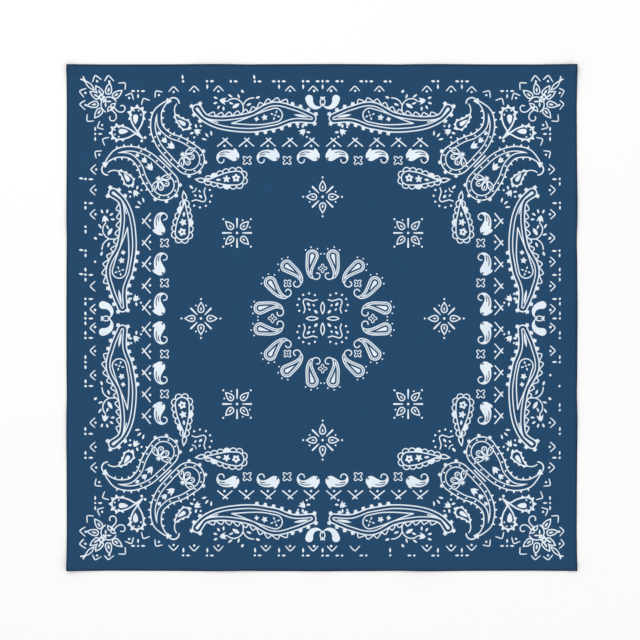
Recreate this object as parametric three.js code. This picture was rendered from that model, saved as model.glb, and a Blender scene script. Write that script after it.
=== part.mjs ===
import * as THREE from "three";

// A square cotton bandana laid out flat, face up, on a level surface.
// It is one panel of thin cloth with a narrow hem turned under along each of its four sides.
// Millimetres. +X runs to the right, +Y to the top edge and +Z up from the surface, which is at Z = 0.
// The origin is the middle of the panel, on the surface.

const WIDTH = 550; // finished, from side hem to side hem
const HEIGHT = 546; // finished, from bottom hem to top hem
const CLOTH = 1; // wall of the panel, and of a hem's turned layers pressed together
const SEAM_GAP = 0.3; // left between two layers that lie on each other
const HEM = 6; // width of a turned hem
const CLIMB = 9; // run over which a layer climbs from the surface onto a hem
const LAYER = CLOTH + SEAM_GAP; // how much one layer lifts the next

// The edges aren't ruler straight. How far each stands out of its line, by the distance from its middle.
const EDGE_WAVE = [
  { along: 0, out: 0.5 },
  { along: 50, out: 0.4 },
  { along: 116, out: -0.4 },
  { along: 200, out: -0.1 },
  { along: 275, out: 0.25 },
];
const WAVE_SHARE = { left: 0.9, right: 1.6, top: 0.8, bottom: 1 };
const WAVE_DEPTH = 60; // how far in from the edge the wave dies away

// Low ripples that run in from an edge, where the cloth stands a little off the surface.
const RIPPLES = [
  { edge: "top", at: -112, halfWidth: 46, reach: 78, height: 1.5 },
  { edge: "top", at: 18, halfWidth: 38, reach: 44, height: 0.6 },
  { edge: "top", at: 124, halfWidth: 52, reach: 66, height: 1.1 },
  { edge: "bottom", at: -98, halfWidth: 50, reach: 70, height: 1.2 },
  { edge: "bottom", at: -6, halfWidth: 34, reach: 40, height: 0.5 },
  { edge: "bottom", at: 108, halfWidth: 44, reach: 84, height: 1.6 },
  { edge: "left", at: -120, halfWidth: 48, reach: 72, height: 1.3 },
  { edge: "left", at: 104, halfWidth: 42, reach: 60, height: 1.0 },
  { edge: "right", at: -102, halfWidth: 50, reach: 64, height: 1.1 },
  { edge: "right", at: 10, halfWidth: 36, reach: 42, height: 0.6 },
  { edge: "right", at: 119, halfWidth: 46, reach: 80, height: 1.5 },
];

// Corners that curl up a little, by the side of the middle that they are on.
const CORNER_CURLS = [
  { x: 1, y: 1, reach: 48, height: 2.0 },
  { x: -1, y: -1, reach: 42, height: 1.5 },
  { x: -1, y: 1, reach: 34, height: 0.8 },
];

// Distances in from an edge where every layer has a row of points, and the longest step past them.
const EDGE_ROWS = [0, HEM / 2, HEM, HEM + CLIMB / 3, HEM + (2 * CLIMB) / 3, HEM + CLIMB];
const LONGEST_STEP = 22;

const halfWidth = WIDTH / 2;
const halfHeight = HEIGHT / 2;

const smooth = (from, to, value) => THREE.MathUtils.smoothstep(value, from, to);

// 1 at the middle of a bump and 0 from its half width outwards, with no corner between.
const bump = (distance, half) => 1 - smooth(0, half, Math.abs(distance));

function edgeWave(along) {
  const distance = Math.abs(along);
  const next = EDGE_WAVE.findIndex((row) => row.along >= distance);
  if (next === 0) return EDGE_WAVE[0].out;
  if (next < 0) return EDGE_WAVE.at(-1).out;
  const [a, b] = [EDGE_WAVE[next - 1], EDGE_WAVE[next]];
  return THREE.MathUtils.lerp(a.out, b.out, smooth(a.along, b.along, distance));
}

// How far in from the named edge a point lies, and where it is along that edge.
function fromEdge(edge, x, y) {
  if (edge === "top") return { depth: halfHeight - y, along: x };
  if (edge === "bottom") return { depth: halfHeight + y, along: x };
  if (edge === "left") return { depth: halfWidth + x, along: y };
  return { depth: halfWidth - x, along: y };
}

// The height that the ripples and curled corners give the cloth.
function lift(x, y) {
  let height = 0;
  for (const ripple of RIPPLES) {
    const { depth, along } = fromEdge(ripple.edge, x, y);
    height += ripple.height * bump(along - ripple.at, ripple.halfWidth) * bump(depth, ripple.reach);
  }
  for (const curl of CORNER_CURLS) {
    const away = Math.hypot(halfWidth - curl.x * x, halfHeight - curl.y * y);
    height += curl.height * bump(away, curl.reach);
  }
  return height;
}

// From 0 on the open panel to 1 over a hem, by the distance in from the edge.
const climb = (depth) => 1 - smooth(HEM, HEM + CLIMB, depth);

// How many hems lie under a point, as the cloth climbs them: first the side hems, then the top and bottom ones.
const overSideHem = (x) => climb(halfWidth - Math.abs(x));
const overEndHem = (y) => climb(halfHeight - Math.abs(y));

// Moves a point of the ruler-straight cloth to where the wavy edge puts it.
function waved(x, y) {
  const sideShare = x < 0 ? WAVE_SHARE.left : WAVE_SHARE.right;
  const endShare = y < 0 ? WAVE_SHARE.bottom : WAVE_SHARE.top;
  const sideDepth = halfWidth - Math.abs(x);
  const endDepth = halfHeight - Math.abs(y);
  return {
    x: x + Math.sign(x) * sideShare * edgeWave(y) * bump(sideDepth, WAVE_DEPTH),
    y: y + Math.sign(y) * endShare * edgeWave(x) * bump(endDepth, WAVE_DEPTH),
  };
}

// Rows of points from one edge of the cloth to the other: close at the edges, wide between.
function rowsAcross(half) {
  const open = 2 * (half - EDGE_ROWS.at(-1));
  const steps = Math.ceil(open / LONGEST_STEP);
  const between = Array.from({ length: steps - 1 }, (_, i) => -open / 2 + ((i + 1) * open) / steps);
  const near = EDGE_ROWS.map((depth) => half - depth);
  return [...near.map((row) => -row), ...between, ...near.reverse()];
}

// A closed wall of cloth over a grid of rows. under gives the height of its lower face.
function layer(name, xs, ys, under, colour) {
  const columns = ys.length;
  const faceSize = xs.length * columns;
  const points = [];
  for (const thickness of [0, CLOTH]) {
    for (const x of xs) {
      for (const y of ys) {
        const placed = waved(x, y);
        points.push(placed.x, placed.y, under(x, y) + lift(x, y) + thickness);
      }
    }
  }
  const faces = [];
  const quad = (a, b, c, d) => faces.push(a, b, c, a, c, d);
  const at = (i, j) => i * columns + j;
  for (let i = 0; i + 1 < xs.length; i++) {
    for (let j = 0; j + 1 < columns; j++) {
      const [a, b, c, d] = [at(i, j), at(i + 1, j), at(i + 1, j + 1), at(i, j + 1)];
      quad(a, d, c, b);
      quad(faceSize + a, faceSize + b, faceSize + c, faceSize + d);
    }
  }
  // The rim joins the two faces, anticlockwise as seen from above.
  const last = { i: xs.length - 1, j: columns - 1 };
  const rim = [
    ...xs.map((_, i) => at(i, 0)),
    ...ys.slice(1).map((_, j) => at(last.i, j + 1)),
    ...xs.slice(1).map((_, i) => at(last.i - 1 - i, last.j)),
    ...ys.slice(1, -1).map((_, j) => at(0, last.j - 1 - j)),
  ];
  rim.forEach((a, k) => {
    const b = rim[(k + 1) % rim.length];
    quad(a, b, faceSize + b, faceSize + a);
  });
  const geometry = new THREE.BufferGeometry();
  geometry.setAttribute("position", new THREE.Float32BufferAttribute(points, 3));
  geometry.setIndex(faces);
  geometry.computeVertexNormals();
  const mesh = new THREE.Mesh(
    geometry,
    new THREE.MeshStandardMaterial({ color: colour, roughness: 0.9, metalness: 0 }),
  );
  mesh.name = name;
  return mesh;
}

const PRINTED_BLUE = 0x284b6b;
const HEM_BLUE = 0x24455f;

const acrossRows = rowsAcross(halfWidth);
const upRows = rowsAcross(halfHeight);
const hemRowsOf = (rows, side) => rows.filter((row) => side * row >= Math.max(...rows) - HEM);

const bandana = new THREE.Group();
bandana.name = "bandana";

// The panel lies on the surface and climbs over all four hems.
bandana.add(
  layer(
    "panel",
    acrossRows,
    upRows,
    (x, y) => (overSideHem(x) + overEndHem(y)) * LAYER,
    PRINTED_BLUE,
  ),
);

// The side hems are turned first, so their ends climb onto the top and bottom hems.
for (const [name, side] of [
  ["hem_left", -1],
  ["hem_right", 1],
]) {
  bandana.add(
    layer(name, hemRowsOf(acrossRows, side), upRows, (x, y) => overEndHem(y) * LAYER, HEM_BLUE),
  );
}

// The top and bottom hems are turned last, so they lie on the surface from corner to corner.
for (const [name, side] of [
  ["hem_bottom", -1],
  ["hem_top", 1],
]) {
  bandana.add(layer(name, acrossRows, hemRowsOf(upRows, side), () => 0, HEM_BLUE));
}

export default bandana;
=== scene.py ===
import math
import random

import bpy
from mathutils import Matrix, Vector, noise
from mathutils.bvhtree import BVHTree
from mathutils.geometry import delaunay_2d_cdt
from mathutils.kdtree import KDTree


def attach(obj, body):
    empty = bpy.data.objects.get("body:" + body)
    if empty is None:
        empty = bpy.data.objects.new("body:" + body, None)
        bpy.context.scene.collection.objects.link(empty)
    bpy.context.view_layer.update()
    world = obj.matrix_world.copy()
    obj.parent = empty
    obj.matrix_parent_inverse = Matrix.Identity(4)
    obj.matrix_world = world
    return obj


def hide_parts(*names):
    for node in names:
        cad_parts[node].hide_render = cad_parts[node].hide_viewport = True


# A square cotton bandana laid out flat, face up: navy plain weave with an off-white paisley print.
# It is seen from straight above. Lengths are in millimetres until a mesh is made.

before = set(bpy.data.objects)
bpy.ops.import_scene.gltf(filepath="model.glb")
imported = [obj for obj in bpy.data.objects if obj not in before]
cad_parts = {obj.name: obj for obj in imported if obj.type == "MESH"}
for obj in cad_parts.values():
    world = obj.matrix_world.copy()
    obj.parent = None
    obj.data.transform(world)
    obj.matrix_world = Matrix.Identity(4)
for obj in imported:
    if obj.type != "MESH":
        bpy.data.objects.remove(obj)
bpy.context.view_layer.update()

studio = {
    "pictureWidth": 0.6905,       # metres of floor across the picture
    "lens": 100,
    "aim": (-0.0019, -0.0026),  # the middle of the picture, from the middle of the cloth
    "keyPower": 29,
    "keySize": 2.4,
    "keyPlace": (-0.9, 1.3, 2.3),
    "fillPower": 12,
    "fillPlace": (1.6, -1.2, 2.0),
    "skyStrength": 0.72,
    "floorColour": (0.93, 0.93, 0.935),
}


def linear(red, green, blue):
    # Turns a colour as a screen gives it, 0 to 255, into the one that light is worked out with.
    def one(value):
        value /= 255
        return value / 12.92 if value <= 0.04045 else ((value + 0.055) / 1.055) ** 2.4
    return one(red), one(green), one(blue), 1


def setUpCamera():
    data = bpy.data.cameras.new("camera")
    data.lens = studio["lens"]
    data.sensor_width = 36
    data.clip_end = 30
    camera = bpy.data.objects.new("camera", data)
    x, y = studio["aim"]
    camera.location = (x, y, studio["pictureWidth"] * studio["lens"] / 36)
    bpy.context.scene.collection.objects.link(camera)
    bpy.context.scene.camera = camera


def softLight(name, place, power, size):
    data = bpy.data.lights.new(name, "AREA")
    data.energy = power
    data.size = size
    lamp = bpy.data.objects.new(name, data)
    lamp.location = place
    lamp.rotation_euler = (Vector((0, 0, 0)) - Vector(place)).to_track_quat("-Z", "Y").to_euler()
    bpy.context.scene.collection.objects.link(lamp)


def setUpStudio():
    softLight("key", studio["keyPlace"], studio["keyPower"], studio["keySize"])
    softLight("fill", studio["fillPlace"], studio["fillPower"], studio["keySize"])
    world = bpy.data.worlds.new("studio")
    world.use_nodes = True
    sky = world.node_tree.nodes["Background"]
    sky.inputs["Color"].default_value = (1, 1, 1, 1)
    sky.inputs["Strength"].default_value = studio["skyStrength"]
    bpy.context.scene.world = world
    bpy.context.scene.view_settings.view_transform = "Standard"
    bpy.context.scene.view_settings.look = "None"


print("camera and studio")
setUpCamera()
setUpStudio()


class Wire:
    # One socket of a material; sums written with it add Math nodes.
    def __init__(self, socket):
        self.socket = socket

    def sum(self, operation, first, second=0.0):
        return node(self.socket.id_data, "ShaderNodeMath", {"operation": operation}, {0: first, 1: second})

    def __add__(self, other):
        return self.sum("ADD", self, other)

    def __radd__(self, other):
        return self.sum("ADD", other, self)

    def __sub__(self, other):
        return self.sum("SUBTRACT", self, other)

    def __rsub__(self, other):
        return self.sum("SUBTRACT", other, self)

    def __mul__(self, other):
        return self.sum("MULTIPLY", self, other)

    def __rmul__(self, other):
        return self.sum("MULTIPLY", other, self)

    def __abs__(self):
        return self.sum("ABSOLUTE", self)

    def sine(self):
        return self.sum("SINE", self)

    def most(self, other):
        return self.sum("MAXIMUM", self, other)

    def out(self, name):
        return Wire(self.socket.node.outputs[name])


def node(tree, kind, settings, sockets, output=0):
    # Adds one node, sets it up, then fills its sockets with values or wires.
    made = tree.nodes.new(kind)
    for name, value in settings.items():
        setattr(made, name, value)
    for name, value in sockets.items():
        if isinstance(value, Wire):
            tree.links.new(value.socket, made.inputs[name])
        else:
            made.inputs[name].default_value = value
    return Wire(made.outputs[output])


def newMaterial(name):
    material = bpy.data.materials.new(name)
    material.use_nodes = True
    material.node_tree.nodes.clear()
    return material, material.node_tree


def shaded(tree, colour, roughness, normal, fixed):
    # The last two nodes of a material; fixed holds what is the same all over it.
    sockets = {"Base Color": colour, "Roughness": roughness, **fixed}
    if normal is not None:
        sockets["Normal"] = normal
    shader = node(tree, "ShaderNodeBsdfPrincipled", {}, sockets)
    out = tree.nodes.new("ShaderNodeOutputMaterial")
    tree.links.new(shader.socket, out.inputs["Surface"])


chart = {
    "line": 1.25,
    "thin": 1.0,
    "weight": 0.87,     # share of their charted width that the printed lines have
    "bendStep": 0.24,
    "longStep": 1.8,
    "scale": 1.0774,    # millimetres to one unit of the chart
    "outwards": 0.86,   # how far the motifs that were charted from one quarter are moved from the centre lines
    "where": "",        # the eighths of the print that have the shapes drawn now; all of them if empty
}
shapes = []


def addRing(ring, ink=True):
    shapes.append((ring, ink, chart["where"]))


def curve(knots, closed=False):
    # A smooth curve through the knots; any further columns, such as a width, are carried along.
    size = len(knots)
    count = size if closed else size - 1
    out = []
    for i in range(count):
        if closed:
            p = [knots[(i + k - 1) % size] for k in range(4)]
        else:
            p = [knots[min(max(i + k - 1, 0), size - 1)] for k in range(4)]
        chord = math.dist(p[1][:2], p[2][:2])
        heading = [math.atan2(b[1] - a[1], b[0] - a[0]) for a, b in ((p[0], p[2]), (p[1], p[3]))]
        turn = abs((heading[1] - heading[0] + math.pi) % (2 * math.pi) - math.pi)
        steps = max(1, math.ceil(max(chord / chart["longStep"], turn / chart["bendStep"])))
        for s in range(steps):
            t = s / steps
            out.append(tuple(
                0.5 * (2 * b + (c - a) * t + (2 * a - 5 * b + 4 * c - d) * t * t
                       + (3 * b - a - 3 * c + d) * t ** 3)
                for a, b, c, d in zip(*p)))
    if not closed:
        out.append(tuple(knots[-1]))
    return out


def sides(points):
    # The two edges of a band whose points are (x, y, half width).
    left, right = [], []
    last = len(points) - 1
    for i, (x, y, half) in enumerate(points):
        ax, ay = points[max(i - 1, 0)][:2]
        bx, by = points[min(i + 1, last)][:2]
        size = math.hypot(bx - ax, by - ay) or 1.0
        nx, ny = (ay - by) / size, (bx - ax) / size
        left.append((x + nx * half, y + ny * half))
        right.append((x - nx * half, y - ny * half))
    return left, right


def line(knots, width=None, ink=True, closed=False):
    # A printed line with blunt rounded ends, laid as short four-sided pieces.
    width = chart["line"] if width is None else width
    points = curve([k if len(k) > 2 else (k[0], k[1], width / 2) for k in knots], closed)
    points = [(x, y, half * chart["weight"]) for x, y, half in points]
    if closed:
        points.append(points[0])
    else:
        points = endCap(points[1], points[0]) + points + endCap(points[-2], points[-1])[::-1]
    left, right = sides(points)
    if closed:
        left[-1], right[-1] = left[0], right[0]
    for i in range(len(points) - 1):
        addRing([right[i], right[i + 1], left[i + 1], left[i]], ink)


def endCap(inner, end):
    # Two narrower places beyond the end of a line, outermost first.
    size = math.dist(inner[:2], end[:2]) or 1.0
    ux, uy = (end[0] - inner[0]) / size, (end[1] - inner[1]) / size
    x, y, half = end
    return [(x + ux * half * out, y + uy * half * out, half * wide) for out, wide in ((0.86, 0.42), (0.5, 0.84))]


def rounded(points):
    # Closes the wide end of a band with a half circle.
    x, y, radius = points[-1]
    px, py = points[-2][:2]
    size = math.hypot(x - px, y - py) or 1.0
    ux, uy = (x - px) / size, (y - py) / size
    steps = max(4, math.ceil(radius * 1.2))
    out = list(points)
    for i in range(1, steps):
        angle = 0.5 * math.pi * i / steps
        out.append((x + ux * radius * math.sin(angle), y + uy * radius * math.sin(angle), radius * math.cos(angle)))
    return out, (x + ux * radius, y + uy * radius)


def bodyRing(knots):
    # The outline of a drop: knots run from its tail to the middle of its round head.
    points, tip = rounded(curve(knots))
    left, right = sides(points)
    return [points[0][:2]] + right[1:] + [tip] + left[:0:-1]


def area(ring):
    return 0.5 * sum(a[0] * b[1] - b[0] * a[1] for a, b in zip(ring, ring[1:] + ring[:1]))


def inset(ring, depth):
    # The ring moved inwards, without the points that would then stand too near its outline.
    if area(ring) < 0:
        ring = ring[::-1]
    size = len(ring)
    out = []
    for i in range(size):
        ax, ay = ring[i - 1]
        x, y = ring[i]
        bx, by = ring[(i + 1) % size]
        ux, uy = unit(x - ax, y - ay)
        vx, vy = unit(bx - x, by - y)
        nx, ny = unit(-(uy + vy), ux + vx)
        lean = max(0.35, -nx * uy + ny * ux)
        p = (x + nx * depth / lean, y + ny * depth / lean)
        if all(gapTo(p, ring[j - 1], ring[j]) > depth * 0.93 for j in range(size)):
            out.append(p)
    return out


def unit(x, y):
    size = math.hypot(x, y) or 1.0
    return x / size, y / size


def gapTo(p, a, b):
    dx, dy = b[0] - a[0], b[1] - a[1]
    size = dx * dx + dy * dy or 1.0
    t = min(1.0, max(0.0, ((p[0] - a[0]) * dx + (p[1] - a[1]) * dy) / size))
    return math.hypot(p[0] - a[0] - dx * t, p[1] - a[1] - dy * t)


def nested(ring, depths):
    # Print and ground by turns: the outline, then what lies inside it at each depth.
    addRing(ring)
    ink = False
    for depth in depths:
        inner = inset(ring, depth)
        if len(inner) > 3:
            addRing(inner, ink)
        ink = not ink


def dot(x, y, radius=0.95, sidesCount=10):
    addRing([(x + radius * math.cos(2 * math.pi * i / sidesCount), y + radius * math.sin(2 * math.pi * i / sidesCount))
             for i in range(sidesCount)])


def leafRing(x, y, length, width, angle):
    # A small solid leaf about its middle; the angle is in degrees from the chart's x axis.
    c, s = math.cos(math.radians(angle)), math.sin(math.radians(angle))
    half, side = length / 2, width / 2
    profile = ((-1, 0), (-0.76, -0.46), (-0.36, -0.86), (0.1, -1), (0.5, -0.8), (0.8, -0.42), (1, 0),
               (0.8, 0.42), (0.5, 0.8), (0.1, 1), (-0.36, 0.86), (-0.76, 0.46))
    return [(x + c * px * half - s * py * side, y + s * px * half + c * py * side) for px, py in profile]


def leaf(x, y, length, width, angle, ink=True):
    addRing(leafRing(x, y, length, width, angle), ink)


def placesAlong(path, gap, start=0.5):
    # Places at equal distances along a path, each with the path's direction there.
    travelled, due = 0.0, gap * start
    for (ax, ay), (bx, by) in zip([p[:2] for p in path], [p[:2] for p in path[1:]]):
        size = math.hypot(bx - ax, by - ay)
        while size and due <= travelled + size:
            t = (due - travelled) / size
            yield ax + (bx - ax) * t, ay + (by - ay) * t, (bx - ax) / size, (by - ay) / size
            due += gap
        travelled += size


def spikes(path, gap, height, base=1.0, start=0.5):
    # Small thorns on the outside of a ring, or of part of one.
    profile = ((-1, -0.1), (1, -0.1), (0.62, 0.5), (0.3, 1), (-0.3, 1), (-0.62, 0.5))
    for x, y, ux, uy in placesAlong(path, gap, start):
        addRing([(x + ux * base * a + uy * height * h, y + uy * base * a - ux * height * h) for a, h in profile])


def arc(x, y, radius, start, end, half=0.62):
    # Knots along part of a circle, from one angle to the other in degrees.
    steps = max(2, math.ceil(abs(end - start) / 30))
    angles = [math.radians(start + (end - start) * i / steps) for i in range(steps + 1)]
    return [(x + radius * math.cos(a), y + radius * math.sin(a), half) for a in angles]


def bloom(x, y, size, angle):
    # A small solid tulip whose three points face along the angle.
    c, s = size * math.cos(math.radians(angle)), size * math.sin(math.radians(angle))
    profile = ((-0.9, 0), (-0.35, -0.55), (0.9, -0.95), (0.42, -0.38), (1.1, 0), (0.42, 0.38), (0.9, 0.95), (-0.35, 0.55))
    addRing([(x + c * px - s * py, y + s * px + c * py) for px, py in profile])


def fan(x, y, reach, angles, length, width):
    # Loose leaves that spread from a place.
    for angle in angles:
        a = math.radians(angle)
        leaf(x + reach * math.cos(a), y + reach * math.sin(a), length, width, angle)


def burst(x, y, angle):
    # A bloom with two leaves and two dots behind it.
    bloom(x, y, 3.7, angle)
    fan(x, y, 5.6, (angle - 132, angle + 132), 4.2, 2.2)
    for side in (-86, 86):
        a = math.radians(angle + side)
        dot(x + 6.6 * math.cos(a), y + 6.6 * math.sin(a), 1.05)


def chevron(x, y, width=9.6, height=4.6, angle=0, bead=True):
    # A roof shape with its peak at (x, y); the angle turns it, in degrees.
    c, s = math.cos(math.radians(angle)), math.sin(math.radians(angle))
    arm = [(-width / 2, -height, 0.5), (-width / 4, -height * 0.42, 0.68), (0, 0, 0.62),
           (width / 4, -height * 0.42, 0.68), (width / 2, -height, 0.5)]
    line([(x + c * px - s * py, y + s * px + c * py, half) for px, py, half in arm])
    if bead:
        px, py = 0, -height * 1.12
        dot(x + c * px - s * py, y + s * px + c * py, 1.15)


def outlineFlower(x, y, petals, radius, turn=0, deep=0.45, width=None, core=0.8):
    # A flower drawn as one wavy line round a dot.
    ring = []
    for i in range(petals * 6):
        angle = math.radians(turn) + 2 * math.pi * i / (petals * 6)
        r = radius * (1 - deep * (0.5 - 0.5 * math.cos(petals * (angle - math.radians(turn)))))
        ring.append((x + r * math.cos(angle), y + r * math.sin(angle)))
    line(ring, chart["thin"] if width is None else width, closed=True)
    if core:
        dot(x, y, core)


def solidFlower(x, y, petals, radius, turn=0, deep=0.4, eye=0.0):
    ring = []
    for i in range(petals * 6):
        angle = math.radians(turn) + 2 * math.pi * i / (petals * 6)
        r = radius * (1 - deep * (0.5 - 0.5 * math.cos(petals * (angle - math.radians(turn)))))
        ring.append((x + r * math.cos(angle), y + r * math.sin(angle)))
    addRing(ring)
    if eye:
        addRing([(x + eye * math.cos(a * math.pi / 4), y + eye * math.sin(a * math.pi / 4)) for a in range(8)], False)


def dropRing(tail, head, radius, bend=0.0, fat=1.0):
    # The outline of a straight or slightly bent drop, from its tail to the middle of its head.
    (ax, ay), (bx, by) = tail, head
    nx, ny = -(by - ay) * bend, (bx - ax) * bend
    knots = []
    for t, share in ((0, 0.06), (0.2, 0.3 * fat), (0.42, 0.6 * fat), (0.7, 0.9), (1, 1)):
        arch = 4 * t * (1 - t)
        knots.append((ax + (bx - ax) * t + nx * arch, ay + (by - ay) * t + ny * arch, radius * min(share, 1)))
    return bodyRing(knots)


def drop(tail, head, radius, depths=(), bend=0.0, fat=1.0):
    nested(dropRing(tail, head, radius, bend, fat), depths)


def curledSpine(x, y, radius, angle, length, turn, body=0.6, late=3.0):
    # Knots from a drop's curled tail to the middle of its head. The tail turns more and more to its end.
    steps, tip = 14, 0.64
    knots = []
    for i in range(steps + 1):
        t = i / steps
        knots.append((x, y, tip + (radius - tip) * max(0.0, 1 - t / body) ** 0.8))
        heading = math.radians(angle + 180 + turn * t ** late)
        x += length / steps * math.cos(heading)
        y += length / steps * math.sin(heading)
    return knots[::-1]


def curledDrop(spine, depths=(), thorns=False):
    # A drop with a thin curled tail, from the knots of its spine.
    thin = sum(1 for knot in spine if knot[2] < 0.65)
    line(spine[:thin])
    ring = bodyRing(spine[thin - 1:])
    if thorns:
        spikes(ring, 5.3, 1.1, 1.5, 0.9)
    nested(ring, depths)


def podRing(knots):
    # The outline of a body that is round at both ends.
    points, tip = rounded(curve(knots))
    points, back = rounded(points[::-1])
    left, right = sides(points)
    return [tip] + right + [back] + left[::-1]



def medallion():
    nested(leafRing(0, 10.5, 13.4, 4.8, 90), (1.1,))
    leaf(6.7, 6.7, 4.8, 2.6, 45)
    lobedFlower(14.6, 14.6, 45)
    for x, y, angle, turn in ((10.4, 62.6, 104, -340), (35.8, 52.4, 34, 350)):
        curledDrop(curledSpine(x, y, 6.5, angle, 38, turn, 0.64), (1.15, 1.8, 2.8, 4.5))
        for side in (-62, -22, 22, 62):
            a = math.radians(angle + side)
            dot(x + 8.9 * math.cos(a), y + 8.9 * math.sin(a), 0.8)
    outlineFlower(0, 50.2, 4, 4.3, 0, 0.5, 0.95, 0.85)
    outlineFlower(35.2, 35.2, 4, 4.3, 45, 0.5, 1.0, 0.8)


def lobedFlower(x, y, angle):
    # A half-open flower whose lobes face along the angle, with beads beyond them.
    c, s = math.cos(math.radians(angle)), math.sin(math.radians(angle))

    def at(px, py):
        return x + c * px - s * py, y + s * px + c * py
    outline = [(-3.4, -9.4)]
    for turn in range(-100, 101, 20):
        a = math.radians(turn)
        radius = 5.2 + 0.9 * math.cos(3 * a)
        outline.append((-0.4 + radius * math.cos(a), radius * math.sin(a)))
    line([at(px, py) for px, py in outline + [(-3.4, 9.4)]], 1.3)
    for px, py, size in ((-0.6, 0, 1), (-5, 3, 0.72), (-5, -3, 0.72)):
        leaf(*at(px, py), 4.4 * size, 2.5 * size, angle)
    for side in (-77, -46, -15, 15, 46, 77):
        a = math.radians(side)
        dot(*at(-1.2 + 11.4 * math.cos(a), 11.4 * math.sin(a)), 1.1)


def starFlower(x, y, turn):
    # Four outlined drops with a solid core, and four tapered dashes between them.
    for k in range(4):
        angle = math.radians(turn + 90 * k)
        c, s = math.cos(angle), math.sin(angle)
        drop((x + 17 * c, y + 17 * s), (x + 9 * c, y + 9 * s), 3.6, (1.15,), fat=1.05)
        leaf(x + 9.5 * c, y + 9.5 * s, 3.8, 1.5, math.degrees(angle))
        dot(x + 19.5 * c, y + 19.5 * s, 1.0)
        for side in (-1, 1) if k % 2 == (turn > 0) else ():
            dot(x + 13 * c - side * 5.1 * s, y + 13 * s + side * 5.1 * c, 0.85)
        angle += math.pi / 4
        c, s = math.cos(angle), math.sin(angle)
        line([(x + 5.4 * c, y + 5.4 * s, 0.5), (x + 9 * c, y + 9 * s, 0.85), (x + 14.2 * c, y + 14.2 * s, 1.05)])
    dot(x, y, 1.25)


def scallopedDrop():
    # The bud and the drop at the foot of the big paisley, the drop with a row of scallops round it.
    drop((127.6, 138.6), (119.8, 137.4), 2.7, (1.2,))
    ring = dropRing((117, 137), (85, 139.8), 7.6)
    for i, (x, y, ux, uy) in enumerate(placesAlong(ring + ring[:1], 6.4, 0.6)):
        scallop = [(x + 3.9 * math.cos(k * math.pi / 7), y + 3.9 * math.sin(k * math.pi / 7)) for k in range(14)]
        nested(scallop, () if i in (1, 10) else (1.05,))
    nested(ring, (1.2,))
    solidFlower(85.8, 139.8, 5, 4.2, 90, 0.35, 1.15)
    solidFlower(95.4, 138.8, 5, 3.8, 20, 0.5)
    leaf(103.4, 138, 5.2, 2.4, -5)


def smallPlants():
    # The hooked bud, the bursts by it and by the long leaf, and a few loose leaves.
    curledDrop(curledSpine(137, 193.3, 5.6, 216, 25, 100, 0.6, 1.8), (1.35,), True)
    drop((144.6, 198.2), (138.2, 193.9), 2.0, fat=1.1)
    dot(131.7, 189.6, 1.3)
    burst(124.8, 186.4, 210)
    burst(19, 186.2, 318)
    fan(109.8, 176.4, 8.2, (84, 50, 16), 5.2, 1.9)


def bigPaisley():
    spine = [(152, 218, 0.8), (158.6, 213.2, 2.4), (164.8, 204, 5), (165, 190, 7), (157, 177, 10.6), (144.4, 167.6, 14.4),
             (132.8, 158.4, 15.8)]
    line(arc(148.4, 214.6, 5.6, 50, 180, 0.8))
    ring = bodyRing(spine)
    middle = len(ring) // 2
    for side in (ring[:middle], ring[middle:]):
        spikes([p for p in side if 172 < p[1] < 211], 7.2, 2.1, 1.2)
    for angle in (150, 190, 230, 270):
        a = math.radians(angle)
        solidFlower(132.8 + 16.6 * math.cos(a), 158.4 + 16.6 * math.sin(a), 5, 2.1, angle, 0.34)
    nested(ring, (1.2, 4.7, 5.8))
    solidFlower(153.4, 216.8, 3, 3.2, 60, 0.5)
    line([(162, 162), (151, 151)], 1.6)
    for x, y, ux, uy in placesAlong(inset(ring, 3), 9.4):
        if y < 184:
            dot(x, y, 0.95)
    # Blooms that grow along the middle, and an open flower in the head.
    for i, (x, y, ux, uy) in enumerate(list(placesAlong(curve(spine), 8.8, 4.5))[:3]):
        bloom(x, y, 2.5 + 0.9 * i, math.degrees(math.atan2(-uy, -ux)))
    openFlower(139.2, 163.4, 216)


def openFlower(x, y, angle):
    for side in (-63, -21, 21, 63):
        a = math.radians(angle + side)
        c, s = math.cos(a), math.sin(a)
        drop((x + 1.5 * c, y + 1.5 * s), (x + 9.4 * c, y + 9.4 * s), 3.1, (1.2,), fat=1.1)
        leaf(x + 9.2 * c, y + 9.2 * s, 3, 1.3, angle + side)
    bloom(x, y, 2.6, angle + 180)


def longLeaf():
    # The long leaf of the side: a saw-toothed back, an outline within, and an eye with flowers.
    spine = [(124.8, 208.8, 5.2), (117, 200, 4.5), (104, 195.6, 6.4), (88, 194.4, 8.4), (68, 196, 10.8), (47, 202.6, 13.8),
             (28, 203.4, 8.8), (10.6, 199.6, 5.4)]
    ring = podRing(spine)
    for x, y, ux, uy in placesAlong(ring + ring[:1], 8.4):
        if y > 199 and 30 < x < 112:
            line([(x - 3.8 * ux, y - 3.8 * uy), (x + 1.6 * ux + 3.6 * uy, y + 1.6 * uy - 3.6 * ux),
                  (x + 3.8 * ux, y + 3.8 * uy)], 1.3)
        elif x < 66 or x > 119:
            solidFlower(x + uy, y - ux, 5, 2.35, 9 * x, 0.36)
    nested(ring, (1.25, 3.7, 4.8))
    line([(x, y, 0.62) for x, y, half in spine[:3]])
    leaf(20.6, 202, 15, 2.4, 10)
    drop((91, 194.4), (46.4, 202.8), 7.5, (1.15,), bend=0.02)
    fan(46.6, 202.6, 3.5, (20, 110, 200, 290), 3.2, 1.5)
    dot(46.6, 202.6, 0.9)
    solidFlower(57.2, 200.4, 5, 3.2, 80, 0.5)
    solidFlower(65.2, 198.8, 4, 2.4, 100, 0.42)


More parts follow.
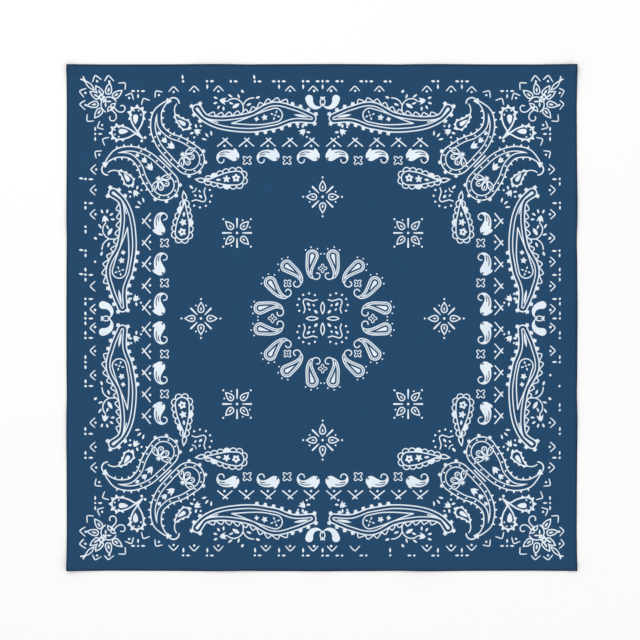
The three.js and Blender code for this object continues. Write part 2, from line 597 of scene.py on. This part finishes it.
def twig():
    line(arc(88, 209.6, 9.6, 195, 45, 0.66))
    line(arc(68.6, 209.2, 10.8, 22, 92, 0.66))
    bloom(99, 217, 3.8, 190)
    fan(99, 217, 7.8, (22, -17, -56, -95), 4.3, 2.1)
    for side, reach, size in ((112, 12.8, 4.8), (74, 12.8, 5.4), (62, 5.6, 4.8)):
        a = math.radians(side)
        leaf(88 + reach * math.cos(a), 209.6 + reach * math.sin(a), size, 1.9, side - 40)
    leaf(86, 212, 8.4, 3.6, 149)
    leaf(73, 213.4, 5.4, 2.1, 158)
    leaf(64, 220.4, 4.6, 2.4, 160)
    leaf(79.4, 226.5, 3.7, 2.5, 52)


def outerRow():
    # The worn outermost row: the names after a place are the eighths of the print that still have it.
    for x, y in ((9.4, 232.3), (32.3, 232.3), (104.3, 232.3), (128.6, 232.3), (149.2, 231.8)):
        chevron(x, y, bead=x > 100)
    dot(8.5, 227.7, 1.3)
    for kind, x, where in (
            ("bead", 0, ""), ("bead", 19.6, ""), ("bead", 43.8, ""), ("bead", 67.8, ""), ("bead", 91.8, "tl br rl lu"),
            ("bead", 115.6, ""), ("bead", 139.6, ""),
            ("dash", 4.9, "tr br tl ru lu ll"), ("dash", 14.7, ""), ("dash", 38.8, ""), ("dash", 48.8, "tr tl ru lu ll"),
            ("dash", 63, "tr tl bl ru lu ll"), ("dash", 86.9, "tl br rl lu"), ("dash", 110.7, ""),
            ("dash", 134.7, "tr br bl ru rl ll"), ("dash", 144.7, "tr br"),
            ("leaf", 0, ""), ("leaf", 19.5, "tl bl ru lu ll"), ("leaf", 43.6, "tl bl ru rl lu"),
            ("leaf", 67.6, "br bl ru ll"), ("leaf", 115.4, "tr br tl bl ru lu ll"),
            ("leaf", 139.4, "tr br bl ru rl lu ll"),
            ("top leaf", 43.8, "lu"), ("top leaf", 67.8, "tl lu"), ("top leaf", 139.6, "tl lu"),
            ("chevron", 56.8, "tr bl ru ll"), ("chevron", 80.6, "ru"),
            ("low bead", 32.6, "tr tl bl ru rl ll"), ("low bead", 56.8, "tr bl ru rl lu ll")):
        chart["where"] = where
        if kind == "bead":
            dot(x, 237.1, 1.15)
        elif kind == "dash":
            leaf(x, 237.1, 4.1, 2.0, 0)
        elif kind == "leaf":
            leaf(x, 231.8, 4.9, 2.0, 92)
        elif kind == "top leaf":
            leaf(x, 240.9, 4.1, 2.1, 90)
        elif kind == "chevron":
            chevron(x, 232.3, bead=False)
        else:
            dot(x, 227.7, 1.15)
    chart["where"] = ""


def moustache():
    # Half of a pair of commas whose tails cross on the middle line.
    spine = curledSpine(12.6, 219, 3.9, 80, 28, -240, 0.58, 1.3)
    curledDrop(spine)
    line([(-x, y, half) for x, y, half in spine[:6]])


def innerRow():
    for k in range(5):
        x = 10.7 + 21.7 * k
        line([(x + 7.7, 172.5, 0.72), (x - 2.2, 180.4, 0.8)])
        line([(x - 6.9, 172.5, 0.6), (x + 2.2, 180.4, 0.7)])
        dot(x + 0.8, 172.8, 1.2)
    for x in (96.5, 56.2, 16):
        comma(x, 163.7)
    for x in (75.6, 35.6):
        outlineFlower(x, 158.3, 4, 5.2, 45, 0.56, 1.05, 0)


def comma(x, y):
    # A fat comma lying on its side, its tail curled under, shaded with two thin lines of ground.
    spine = curledSpine(x - 7.8, y - 0.8, 5.3, 200, 31, -330, 0.66, 2.2)
    curledDrop(spine)
    leaf(x - 9.4, y + 4.2, 6.2, 2.8, 50)
    for first, last, off in ((7, 13, 0.4), (7, 11, -0.3)):
        knots = [(px, py + off * half, 0.55) for px, py, half in spine[first:last]]
        knots[0], knots[-1] = (*knots[0][:2], 0.3), (*knots[-1][:2], 0.35)
        line(knots, ink=False)
    leaf(x - 10.9, y - 3.6, 2.9, 1.9, 50, False)


def cornerSpray():
    # The corner flower, on this side of the diagonal, and the row of roofs that turns round it.
    for k in range(3):
        angle = 57 + 43 * k
        c, s = math.cos(math.radians(angle)), math.sin(math.radians(angle))
        drop((215.6 + 20.4 * c, 215.6 + 20.4 * s), (215.6 + 11.4 * c, 215.6 + 11.4 * s), 3.7, (1.2,), fat=1.15)
        leaf(215.6 + 12.4 * c, 215.6 + 12.4 * s, 5, 1.9, angle)
    solidFlower(220.8, 220.8, 4, 3.9, 0, 0.42, 1.15)
    solidFlower(217.3, 217.3, 4, 2.6, 45, 0.5)
    line(arc(213.4, 212.4, 8.6, 62, 150, 0.66))
    leaf(213, 216.4, 5, 1.8, 0)
    drop((205.7, 214.9), (209.6, 212.2), 2.2, (1.1,))
    dot(209.6, 209.6, 1.3)
    line(curledSpine(208.4, 211.2, 0.7, 55, 22, -290, 0.6, 1.8))
    line(arc(239.8, 224.6, 12.6, 106, 164, 0.64))
    line(arc(233.4, 240.2, 4.4, 320, 360, 0.8))
    for x, y, angle, bead in ((225.8, 241.4, -12, 1), (212.7, 241.3, 0, 1), (196.9, 234.8, 45, 0), (190.6, 224.4, 26, 1),
                              (178.6, 219.3, -28, 0), (166, 226.8, -36, 1)):
        chevron(x, y, 9, 4.5, angle, bool(bead))
    dot(183.9, 226.8, 1.05)
    fan(183.9, 226.8, 5, (0, 180, 270), 4.3, 1.9)


def spikedBud():
    ring = dropRing((184.4, 185), (185.1, 203.4), 7.5, fat=1.1)
    for angle in (-30, 15, 52, 92, 132, 165, 210):
        a = math.radians(angle)
        solidFlower(185.1 + 8 * math.cos(a), 203.4 + 8 * math.sin(a), 3, 2.0, angle, 0.42)
    nested(ring, (1.5,))
    drop((186.6, 193.6), (186.4, 200.8), 2.6, fat=1.2)
    for angle in (0, 60, 120, 180):
        a = math.radians(angle)
        dot(185.7 + 4.7 * math.cos(a), 203.2 + 4.7 * math.sin(a), 0.9, 8)
    line([(184.6, 186.6, 1.3), (182.6, 183.4, 1.1), (179.3, 179.4, 0.75)])
    dot(176.9, 180.3, 1.4)


def diagonalFlower():
    lobedFlower(120.9, 120.9, 225)
    leaf(130.6, 130.6, 5, 2.4, 45)
    line(arc(129.4, 129.6, 3.6, 262, 180, 0.55))


def drawPrint():
    medallion()
    starFlower(0, 121.8, 0)
    innerRow()
    outerRow()
    fixed = len(shapes)
    starFlower(84.8, 84.8, 45)
    scallopedDrop()
    smallPlants()
    bigPaisley()
    longLeaf()
    twig()
    moustache()
    cornerSpray()
    spikedBud()
    diagonalFlower()
    for i, (ring, ink, where) in enumerate(shapes):
        out = chart["outwards"] if i >= fixed else 0
        shapes[i] = ([((x + out) * chart["scale"], (y + out) * chart["scale"]) for x, y in ring], ink, where)


# From the drawn shapes to triangles that are print or bare ground.

def wedgeTriangles(half):
    # Lays the shapes over each other. The last one drawn on a spot decides whether it is bare ground, which
    # is None, or print, which is the names of the eighths that have it.
    points, edges = [], []
    border = [(0, 0), (half, half), (0, half)]
    for ring in [shape[0] for shape in shapes] + [border]:
        first, size = len(points), len(ring)
        points += [Vector(p) for p in ring]
        edges += [(first + i, first + (i + 1) % size) for i in range(size)]
    spots, _, triangles, _, _, _ = delaunay_2d_cdt(points, edges, [], 0, 0.012, True)
    kept, middles, cells = [], [], {}
    for triangle in triangles:
        x, y = (sum(spots[i][axis] for i in triangle) / 3 for axis in (0, 1))
        if 0 < x < y < half:
            cells.setdefault((x // 5, y // 5), []).append(len(kept))
            kept.append(triangle)
            middles.append((x, y))
    printed = [None] * len(kept)
    for ring, ink, where in shapes:
        low, high = ([pick(p[axis] for p in ring) // 5 for axis in (0, 1)] for pick in (min, max))
        for column in range(int(low[0]), int(high[0]) + 1):
            for row in range(int(low[1]), int(high[1]) + 1):
                for index in cells.get((column, row), ()):
                    if inside(middles[index], ring):
                        printed[index] = where if ink else None
    return spots, kept, printed


def inside(p, ring):
    x, y = p
    odd = False
    for (ax, ay), (bx, by) in zip(ring, ring[1:] + ring[:1]):
        if (ay > y) != (by > y) and x < ax + (bx - ax) * (y - ay) / (by - ay):
            odd = not odd
    return odd


def outlinesOf(triangles, printed):
    # The edges between print and ground, each with the print on its left.
    owner = {}
    for triangle, ink in zip(triangles, printed):
        for a, b in zip(triangle, triangle[1:] + triangle[:1]):
            owner[a, b] = ink
    return [(a, b) for (a, b), ink in owner.items() if ink is not None and owner.get((b, a), ink) is None]


def chainsOf(edges, spots):
    # The outlines as runs of points, cut where they meet and at the borders of the wedge.
    after, before = {}, {}
    for a, b in edges:
        after.setdefault(a, []).append(b)
        before.setdefault(b, []).append(a)

    def plain(i):
        x, y = spots[i]
        return len(after.get(i, ())) == 1 and len(before.get(i, ())) == 1 and x > 1e-4 and abs(x - y) > 1e-4
    chains, used = [], set()
    starts = [i for i in after if not plain(i)] + list(after)
    for start in starts:
        for second in after[start]:
            if (start, second) in used:
                continue
            chain = [start, second]
            used.add((start, second))
            while plain(chain[-1]) and chain[-1] != start:
                chain.append(after[chain[-1]][0])
                used.add((chain[-2], chain[-1]))
            chains.append(chain)
    return chains


def thinned(chain, spots, tolerance):
    # Leaves out the points that a run passes nearly straight through.
    if len(chain) < 3:
        return chain
    if chain[0] == chain[-1]:
        middle = max(range(len(chain)), key=lambda k: math.dist(spots[chain[k]], spots[chain[0]]))
    else:
        gaps = [gapTo(spots[i], spots[chain[0]], spots[chain[-1]]) for i in chain]
        middle = max(range(len(chain)), key=gaps.__getitem__)
        if gaps[middle] < tolerance:
            return [chain[0], chain[-1]]
    if middle in (0, len(chain) - 1):
        return chain
    return thinned(chain[:middle + 1], spots, tolerance)[:-1] + thinned(chain[middle:], spots, tolerance)


def printMesh(half, tolerance, gridStep, edgeSteps):
    # Triangles of one eighth of the print, with plain grid points between the outlines.
    spots, triangles, printed = wedgeTriangles(half)
    edges = []
    for chain in chainsOf(outlinesOf(triangles, printed), spots):
        run = thinned(chain, spots, tolerance)
        edges += zip(run, run[1:])
    used = sorted({i for edge in edges for i in edge})
    place = {old: new for new, old in enumerate(used)}
    points = []
    for i in used:
        x, y = spots[i]
        x = 0.0 if x < 0.02 else x
        if abs(x - y) < 0.03:
            x = y = (x + y) / 2
        points.append(Vector((x, y)))
    edges = [(place[a], place[b]) for a, b in edges]
    near = KDTree(len(points))
    for i, p in enumerate(points):
        near.insert((p.x, p.y, 0), i)
    near.balance()
    rows = int(half / gridStep)
    step = half / rows
    for j in range(1, rows):
        for i in range(0, j + 1):
            x, y = i * step, j * step
            if near.find((x, y, 0))[2] > step * 0.42:
                points.append(Vector((x, y)))
    points += [Vector((half * k / edgeSteps, half)) for k in range(edgeSteps + 1)]
    corner = len(points)
    points.append(Vector((0, 0)))
    border = [(corner, corner - 1), (corner - 1, corner - 1 - edgeSteps), (corner - 1 - edgeSteps, corner)]
    flat, _, faces, _, _, _ = delaunay_2d_cdt(points, edges + border, [], 0, 0.02, True)
    flat = [(0.0 if p.x < 1e-4 else p.x, half if abs(p.y - half) < 1e-4 else p.y) for p in flat]
    flat = [(y, y) if abs(x - y) < 1e-4 else (x, y) for x, y in flat]
    tree = BVHTree.FromPolygons([(p[0], p[1], 0) for p in spots], triangles)
    inks = []
    for face in faces:
        x, y = (sum(flat[i][axis] for i in face) / 3 for axis in (0, 1))
        inks.append(printed[tree.find_nearest((x, y, 0))[2]])
    return flat, faces, inks


def allRound(flat, faces, inks):
    # The wedge and its seven mirror images, joined where they meet. Each is named by a side of the cloth and
    # a half of that side: top, bottom, right or left, then right, left, upper or lower.
    points, found, everyFace, everyInk = [], {}, [], []
    eighths = iter(("tr", "br", "tl", "bl", "ru", "rl", "lu", "ll"))
    for swap in (False, True):
        for sx in (1, -1):
            for sy in (1, -1):
                eighth = next(eighths)
                turned = (sx * sy < 0) != swap
                here = []
                for x, y in flat:
                    p = (sx * y, sy * x) if swap else (sx * x, sy * y)
                    if p not in found:
                        found[p] = len(points)
                        points.append(p)
                    here.append(found[p])
                for face, ink in zip(faces, inks):
                    ring = [here[i] for i in face]
                    if len(set(ring)) == 3:
                        everyFace.append(ring[::-1] if turned else ring)
                        everyInk.append(ink is not None and (not ink or eighth in ink))
    return points, everyFace, everyInk


cloth = {
    "width": 550,
    "height": 546,
    "thick": 0.24,
    "layerGap": 0.07,
    "printHalf": 262,      # half of the square that holds the print and has no hem under it
    "edgeSteps": 30,       # steps along half of that square
    "printOff": (0.92, -0.95),    # the print's centre, from the panel's
    "hem": 6.2,            # finished width of a turned hem
    "tuckedEdge": 5.0,     # what is turned in again under it
    "climbSide": (262.4, 268.2),
    "climbEnd": (260.2, 265.7),
    "threadRoom": 0.16,    # how far the thread under a hem holds it off the surface
    "edgeWave": ((0, 0.5), (50, 0.4), (116, -0.4), (200, -0.1), (275, 0.25)),
    "waveShare": {"left": 0.9, "right": 1.6, "top": 0.8, "bottom": 1},
    "waveDepth": 60,
    "ripples": (
        # edge, place along it, half width, reach, height
        ("top", -112, 46, 78, 1.5), ("top", 18, 38, 44, 0.6), ("top", 124, 52, 66, 1.1),
        ("bottom", -98, 50, 70, 1.2), ("bottom", -6, 34, 40, 0.5), ("bottom", 108, 44, 84, 1.6),
        ("left", -120, 48, 72, 1.3), ("left", 104, 42, 60, 1.0),
        ("right", -102, 50, 64, 1.1), ("right", 10, 36, 42, 0.6), ("right", 119, 46, 80, 1.5),
    ),
    "cornerCurls": ((1, 1, 48, 2.0), (-1, -1, 42, 1.5), (-1, 1, 34, 0.8)),
    "swell": 0.35,         # soft unevenness of a washed cloth
    "swellSize": 62,
    "pucker": 0.16,        # small waves that the seam draws into a hem
    "puckerSize": 7,
}


def smooth(start, end, value):
    share = min(1.0, max(0.0, (value - start) / (end - start)))
    return share * share * (3 - 2 * share)


def bump(distance, half):
    return 1 - smooth(0, half, abs(distance))


def edgeWave(along):
    rows = cloth["edgeWave"]
    distance = abs(along)
    for (a, outA), (b, outB) in zip(rows, rows[1:]):
        if distance <= b:
            return outA + (outB - outA) * smooth(a, b, distance)
    return rows[-1][1]


def overSideHem(x):
    return smooth(*cloth["climbSide"], abs(x))


def overEndHem(y):
    return smooth(*cloth["climbEnd"], abs(y))


def lift(x, y):
    # How far the cloth stands off the surface at a point, apart from the layers under it.
    halfWidth, halfHeight = cloth["width"] / 2, cloth["height"] / 2
    fromEdge = {"top": (halfHeight - y, x), "bottom": (halfHeight + y, x),
                "left": (halfWidth + x, y), "right": (halfWidth - x, y)}
    height = 0.0
    for edge, at, half, reach, rise in cloth["ripples"]:
        depth, along = fromEdge[edge]
        if depth < reach:
            height += rise * bump(along - at, half) * bump(depth, reach)
    for sx, sy, reach, rise in cloth["cornerCurls"]:
        height += rise * bump(math.hypot(halfWidth - sx * x, halfHeight - sy * y), reach)
    p = Vector((x, y, 0))
    height += cloth["swell"] * max(0.0, noise.noise(p / cloth["swellSize"]) + 0.1)
    side = overSideHem(x)
    end = overEndHem(y)
    if side or end:
        wave = 0.5 + 0.5 * noise.noise(p / cloth["puckerSize"] + Vector((7, 3, 1)))
        height += max(side, end) * (cloth["threadRoom"] + cloth["pucker"] * wave)
    return height


def waved(x, y):
    # The edges aren't ruler straight.
    share = cloth["waveShare"]
    sideDepth = cloth["width"] / 2 - abs(x)
    endDepth = cloth["height"] / 2 - abs(y)
    sideOut = share["left" if x < 0 else "right"] * edgeWave(y) * bump(sideDepth, cloth["waveDepth"])
    endOut = share["bottom" if y < 0 else "top"] * edgeWave(x) * bump(endDepth, cloth["waveDepth"])
    return x + math.copysign(sideOut, x), y + math.copysign(endOut, y)


def turned(step, height, half, under):
    # Across one edge: where a step of the twice turned hem lies, and how high.
    kind, share = step
    pitch = under + cloth["thick"] + cloth["layerGap"]
    middle = -under / 2
    off = height - middle
    start = half - (pitch + under / 2 + cloth["thick"] / 2)
    if kind == "open":
        return share, height
    if kind == "run":
        return cloth["printHalf"] + share * (start - cloth["printHalf"]), height
    if kind == "fold":
        angle = share * math.pi
        return start + (pitch + off) * math.sin(angle), middle - pitch + (pitch + off) * math.cos(angle)
    inner = half - cloth["hem"]
    if kind == "back":
        return start - share * (start - inner), middle - 2 * pitch - off
    if kind == "tuck":
        angle = share * math.pi
        radius = pitch / 2 + off
        return inner - radius * math.sin(angle), middle - 1.5 * pitch - radius * math.cos(angle)
    return inner + share * cloth["tuckedEdge"], middle - pitch + off


def flatPlace(step, half):
    # Where a step was before the hem was turned, for the pattern map.
    kind, share = step
    pitch = cloth["thick"] + cloth["layerGap"]
    start = half - pitch - cloth["thick"] / 2
    lengths = (("run", start - cloth["printHalf"]), ("fold", math.pi * pitch), ("back", start - half + cloth["hem"]),
               ("tuck", math.pi * pitch / 2), ("end", cloth["tuckedEdge"]))
    if kind == "open":
        return share
    place = cloth["printHalf"]
    for name, length in lengths:
        if name == kind:
            return place + share * length
        place += length


def clothPoint(across, up, height):
    # A point of the cloth's front or back face. across and up are (side, step) pairs.
    sideX, stepX = across
    sideY, stepY = up
    pitch = cloth["thick"] + cloth["layerGap"]
    x, z = turned(stepX, height, cloth["width"] / 2, 0)
    under = 2 * pitch * overSideHem(x)
    y, z = turned(stepY, z, cloth["height"] / 2, under)
    z += under + 2 * (under + pitch) * overEndHem(y) + cloth["thick"] / 2
    x, y = sideX * x, sideY * y
    z += lift(x, y)
    x, y = waved(x, y)
    return x / 1000, y / 1000, z / 1000


hemSteps = ([("run", s) for s in (0.11, 0.22, 0.34, 0.46, 0.58, 0.72, 0.86, 1)]
            + [("fold", s / 5) for s in range(1, 6)]
            + [("back", s) for s in (0.33, 0.67, 1)]
            + [("tuck", s / 4) for s in range(1, 5)]
            + [("end", s) for s in (0.5, 1)])


def gridLines(edgeSteps):
    # The lines of the plain frame round the print, from one raw edge to the other.
    half = cloth["printHalf"]
    inner = [half * k / edgeSteps for k in range(-edgeSteps, edgeSteps + 1)]
    openLines = [(1, ("open", value)) for value in inner]
    return [(-1, s) for s in reversed(hemSteps)] + openLines + [(1, s) for s in hemSteps]


def clothFace(lines, tolerance, gridStep, height, points, flat):
    # One face of the cloth: the print, and round it the plain frame with its turned hems.
    half = cloth["printHalf"]
    spots, faces, inks = allRound(*printMesh(half, tolerance, gridStep, cloth["edgeSteps"]))
    places = []
    for x, y in spots:
        share = 1 - smooth(half - 8, half - 0.3, max(abs(x), abs(y)))
        places.append(((1, ("open", x + share * cloth["printOff"][0])), (1, ("open", y + share * cloth["printOff"][1]))))
    found = {(round(x, 2), round(y, 2)): i for i, (x, y) in enumerate(spots) if max(abs(x), abs(y)) > half - 0.01}
    first, last = len(hemSteps), len(lines) - 1 - len(hemSteps)
    grid = {}
    for i, across in enumerate(lines):
        for j, up in enumerate(lines):
            if first <= i <= last and first <= j <= last:
                grid[i, j] = found.get((round(across[1][1], 2), round(up[1][1], 2)))
            else:
                grid[i, j] = len(places)
                places.append((across, up))
    size = len(lines) - 1
    for i in range(size):
        for j in range(size):
            if not (first <= i < last and first <= j < last):
                faces.append([grid[i, j], grid[i + 1, j], grid[i + 1, j + 1], grid[i, j + 1]])
                inks.append(False)
    rim = ([grid[i, 0] for i in range(size)] + [grid[size, j] for j in range(size)]
           + [grid[i, size] for i in range(size, 0, -1)] + [grid[0, j] for j in range(size, 0, -1)])
    start = len(points)
    for across, up in places:
        points.append(clothPoint(across, up, height))
        flat.append((across[0] * flatPlace(across[1], cloth["width"] / 2),
                     up[0] * flatPlace(up[1], cloth["height"] / 2)))
    return [[start + i for i in face] for face in faces], inks, [start + i for i in rim]


def makeCloth():
    lines = gridLines(cloth["edgeSteps"])
    points, flat = [], []
    thick = cloth["thick"] / 2
    fronts, frontInks, frontRim = clothFace(lines, 0.035, 7.5, thick, points, flat)
    print("face:", len(fronts), "faces")
    backs, backInks, backRim = clothFace(lines, 0.25, 9.5, -thick, points, flat)
    print("back:", len(backs), "faces")
    size = len(frontRim)
    edge = [[frontRim[k], backRim[k], backRim[(k + 1) % size], frontRim[(k + 1) % size]] for k in range(size)]
    mesh = bpy.data.meshes.new("cloth")
    mesh.from_pydata(points, [], fronts + [face[::-1] for face in backs] + edge)
    slots = [int(ink) for ink in frontInks] + [2 + int(ink) for ink in backInks] + [2] * size
    mesh.polygons.foreach_set("material_index", slots)
    # Each finish has its own quarter of the map, so that none runs into another at an outline.
    layer = mesh.uv_layers.new(name="OFBake")
    values = []
    for face in mesh.polygons:
        left, low = 0.25 + 0.5 * (face.material_index % 2), 0.25 + 0.5 * (face.material_index // 2)
        for vertex in face.vertices:
            x, y = flat[vertex]
            values += [left + x / 1220, low + y / 1220]
    layer.data.foreach_set("uv", values)
    mesh.update()
    piece = bpy.data.objects.new("cloth", mesh)
    bpy.context.scene.collection.objects.link(piece)
    return piece


stitching = {
    "fromEdge": 4.3,
    "length": 2.45,      # from one needle hole to the next
    "radius": 0.105,
    "rise": 0.07,        # how far the middle of a stitch stands up
    "dip": 0.13,         # and how far its ends go down into their holes
    "wander": 0.12,      # how far the row strays from a straight line
    "rings": 5,
    "sides": 5,
}


def stitch(points, faces, line):
    # One stitch of thread along a line of (place, outward direction) pairs.
    first = len(points)
    last = len(line) - 1
    sides = stitching["sides"]
    for i, (place, outward) in enumerate(line):
        ahead = (line[min(i + 1, last)][0] - line[max(i - 1, 0)][0]).normalized()
        across = ahead.cross(outward).normalized()
        share = i / last
        arch = 4 * share * (1 - share)
        radius = stitching["radius"] / 1000 * (0.72 + 0.28 * arch)
        middle = place + outward * (stitching["rise"] * arch - stitching["dip"] * (1 - arch)) / 1000
        for k in range(sides):
            angle = 2 * math.pi * k / sides
            points.append(middle + (across * math.cos(angle) + outward * math.sin(angle)) * radius)
    for i in range(last):
        for k in range(sides):
            a, b = first + i * sides + k, first + i * sides + (k + 1) % sides
            faces.append((a, b, b + sides, a + sides))
    faces.append(tuple(first + k for k in reversed(range(sides))))
    faces.append(tuple(first + last * sides + k for k in range(sides)))


def stitchRow(pointAt, length, wayOut, points, faces):
    # A row of stitches; pointAt gives the cloth's surface at a distance along the row.
    count = round(length / stitching["length"])
    step = length / count
    rings = stitching["rings"]
    for i in range(count):
        start = -length / 2 + i * step + step * 0.06
        line = [(Vector(pointAt(start + step * 0.88 * k / (rings - 1))), wayOut) for k in range(rings)]
        stitch(points, faces, line)


def makeStitching():
    points, faces = [], []
    halfWidth, halfHeight = cloth["width"] / 2, cloth["height"] / 2
    inset = stitching["fromEdge"]
    thick = cloth["thick"] / 2
    up, down = Vector((0, 0, 1)), Vector((0, 0, -1))

    def stray(along, row):
        return stitching["wander"] * noise.noise(Vector((along / 31, row * 9.3, 0.5)))

    def backShare(half, place, under):
        pitch = under + cloth["thick"] + cloth["layerGap"]
        start = half - (pitch + under / 2 + cloth["thick"] / 2)
        return (start - place) / (start - half + cloth["hem"])
    for side in (-1, 1):
        def onSide(along, side=side):
            place = halfWidth - inset + stray(along, side)
            return clothPoint((side, ("open", place)), (1, ("open", along)), thick)

        def onEnd(along, side=side):
            place = halfHeight - inset + stray(along, side * 3)
            return clothPoint((1, ("open", along)), (side, ("open", place)), thick)

        def underSide(along, side=side):
            place = halfWidth - inset + stray(along, side)
            step = ("back", backShare(halfWidth, place, 0))
            return clothPoint((side, step), (1, ("open", along)), thick)

        def underEnd(along, side=side):
            place = halfHeight - inset + stray(along, side * 3)
            under = 2 * (cloth["thick"] + cloth["layerGap"]) * overSideHem(along)
            step = ("back", backShare(halfHeight, place, under))
            return clothPoint((1, ("open", along)), (side, step), thick)
        stitchRow(onSide, cloth["height"] - 3.2, up, points, faces)
        stitchRow(onEnd, cloth["width"] - 2.4, up, points, faces)
        stitchRow(underSide, cloth["height"] - 16, down, points, faces)
        stitchRow(underEnd, cloth["width"] - 16, down, points, faces)
    mesh = bpy.data.meshes.new("stitching")
    mesh.from_pydata(points, [], faces)
    mesh.update()
    piece = bpy.data.objects.new("stitching", mesh)
    bpy.context.scene.collection.objects.link(piece)
    return piece


finish = {
    "ground": (25, 69, 104),
    "groundDeep": (20, 63, 98),
    "print": (240, 247, 252),
    "printThin": (209, 223, 236),
    "backGround": (52, 86, 117),
    "backPrint": (104, 132, 158),
    "fold": (10, 26, 42),  # painted shade: the dark colour that the colours deepen towards at the folded edges
    # How strong and how wide the painted shade at the folded edges is.
    "foldShadeShare": 0.85,
    "foldShadeWidth": 0.004,    # metres in from the edge
    "warp": 0.00038,       # metres from one warp thread to the next
    "weft": 0.00042,
}


def weave(tree):
    # Plain weave on the cloth's own place: its height, and which thread is on top.
    place = node(tree, "ShaderNodeTexCoord", {}, {}, "Object")
    x = node(tree, "ShaderNodeSeparateXYZ", {}, {"Vector": place}, "X")
    y = x.out("Y")
    warp = (x * (math.pi / finish["warp"])).sine()
    weft = (y * (math.pi / finish["weft"])).sine()
    warpOnTop = warp * weft * 0.5 + 0.5
    height = (abs(warp) * warpOnTop).most(abs(weft) * (1 - warpOnTop))
    return place, warpOnTop, height


def stretched(tree, place, scale, detail=2.0):
    # Noise drawn out along one thread.
    sized = node(tree, "ShaderNodeVectorMath", {"operation": "MULTIPLY"}, {0: place, 1: scale})
    return node(tree, "ShaderNodeTexNoise", {}, {"Vector": sized, "Scale": 1.0, "Detail": detail}, "Fac")


def mixed(tree, share, first, second):
    return node(tree, "ShaderNodeMix", {"data_type": "RGBA"}, {0: share, 6: first, 7: second}, 2)


def paintedFoldShade(tree, place):
    # Painted shade along the folded edges: from 0 on the open cloth to the fold's share at its four edges.
    x = node(tree, "ShaderNodeSeparateXYZ", {}, {"Vector": place}, "X")
    y = x.out("Y")
    width = finish["foldShadeWidth"]
    past = (abs(x) - (cloth["width"] / 2000 - width)).most(abs(y) - (cloth["height"] / 2000 - width))
    past = past.most(0.0) * (1 / width)
    return past * past * finish["foldShadeShare"]


def clothMaterial(name, low, high, gaps):
    # Dyed or printed cotton between two colours; gaps is how much painted shade darkens the weave's gaps.
    material, tree = newMaterial(name)
    place, warpOnTop, height = weave(tree)
    warpSlub = stretched(tree, place, (1700, 26, 1))
    weftSlub = stretched(tree, place, (24, 1500, 1))
    mottle = node(tree, "ShaderNodeTexNoise", {}, {"Vector": place, "Scale": 26.0, "Detail": 5.0}, "Fac")
    slub = warpSlub * warpOnTop + weftSlub * (1 - warpOnTop)
    # Painted shade in the weave: where the threads lie low, between them, the colour is darkened by gaps.
    share = 0.5 + (mottle - 0.5) * 1.3 + (slub - 0.5) * 0.9 - (0.6 - height) * gaps
    # Painted shade: near the four folded edges the colour is mixed towards the dark fold colour.
    colour = mixed(tree, paintedFoldShade(tree, place), mixed(tree, share, linear(*low), linear(*high)), linear(*finish["fold"]))
    relief = height * 0.7 + slub * 0.6
    normal = node(tree, "ShaderNodeBump", {}, {"Strength": 0.35, "Distance": 0.00012, "Height": relief})
    roughness = 0.84 + (mottle - 0.5) * 0.1
    shaded(tree, colour, roughness, normal,
           {"Specular IOR Level": 0.25, "Sheen Weight": 0.12, "Sheen Roughness": 0.45})
    return material


def threadMaterial():
    material, tree = newMaterial("navy thread")
    place = node(tree, "ShaderNodeTexCoord", {}, {}, "Object")
    twist = stretched(tree, place, (9000, 9000, 9000), 1.0)
    fade = stretched(tree, place, (60, 60, 60))
    colour = mixed(tree, fade, linear(31, 62, 92), linear(46, 82, 115))
    normal = node(tree, "ShaderNodeBump", {}, {"Strength": 0.4, "Distance": 0.00005, "Height": twist})
    shaded(tree, colour, 0.55 + (fade - 0.5) * 0.2, normal, {"Specular IOR Level": 0.4, "Sheen Weight": 0.1})
    return material


def floorMaterial():
    material, tree = newMaterial("pale floor")
    shaded(tree, (*studio["floorColour"], 1), 0.9, None, {"Specular IOR Level": 0.1})
    return material


def smoothFaces(piece, angle):
    bpy.ops.object.select_all(action="DESELECT")
    piece.select_set(True)
    bpy.context.view_layer.objects.active = piece
    bpy.ops.object.shade_smooth_by_angle(angle=math.radians(angle))


def makeFloor():
    bpy.ops.object.select_all(action="DESELECT")
    bpy.ops.mesh.primitive_plane_add(size=8)
    floor = bpy.context.active_object
    floor.name = "floor"
    floor.location.z = -0.0001
    floor.data.materials.append(floorMaterial())


makeFloor()
print("drawing the print")
drawPrint()
print("shapes:", len(shapes))
bandana = makeCloth()
for material in (clothMaterial("navy cotton", finish["groundDeep"], finish["ground"], 0.5),
                 clothMaterial("white print", finish["printThin"], finish["print"], 0.7),
                 clothMaterial("navy cotton, back", finish["backGround"], finish["backGround"], 0.5),
                 clothMaterial("print seen through, back", finish["backPrint"], finish["backPrint"], 0.5)):
    bandana.data.materials.append(material)
smoothFaces(bandana, 50)
print("cloth:", len(bandana.data.polygons), "faces")
stitches = makeStitching()
stitches.data.materials.append(threadMaterial())
smoothFaces(stitches, 60)
print("stitching:", len(stitches.data.polygons), "faces")

for piece in (bandana, stitches):
    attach(piece, "root")
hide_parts("panel", "hem_left", "hem_right", "hem_bottom", "hem_top")
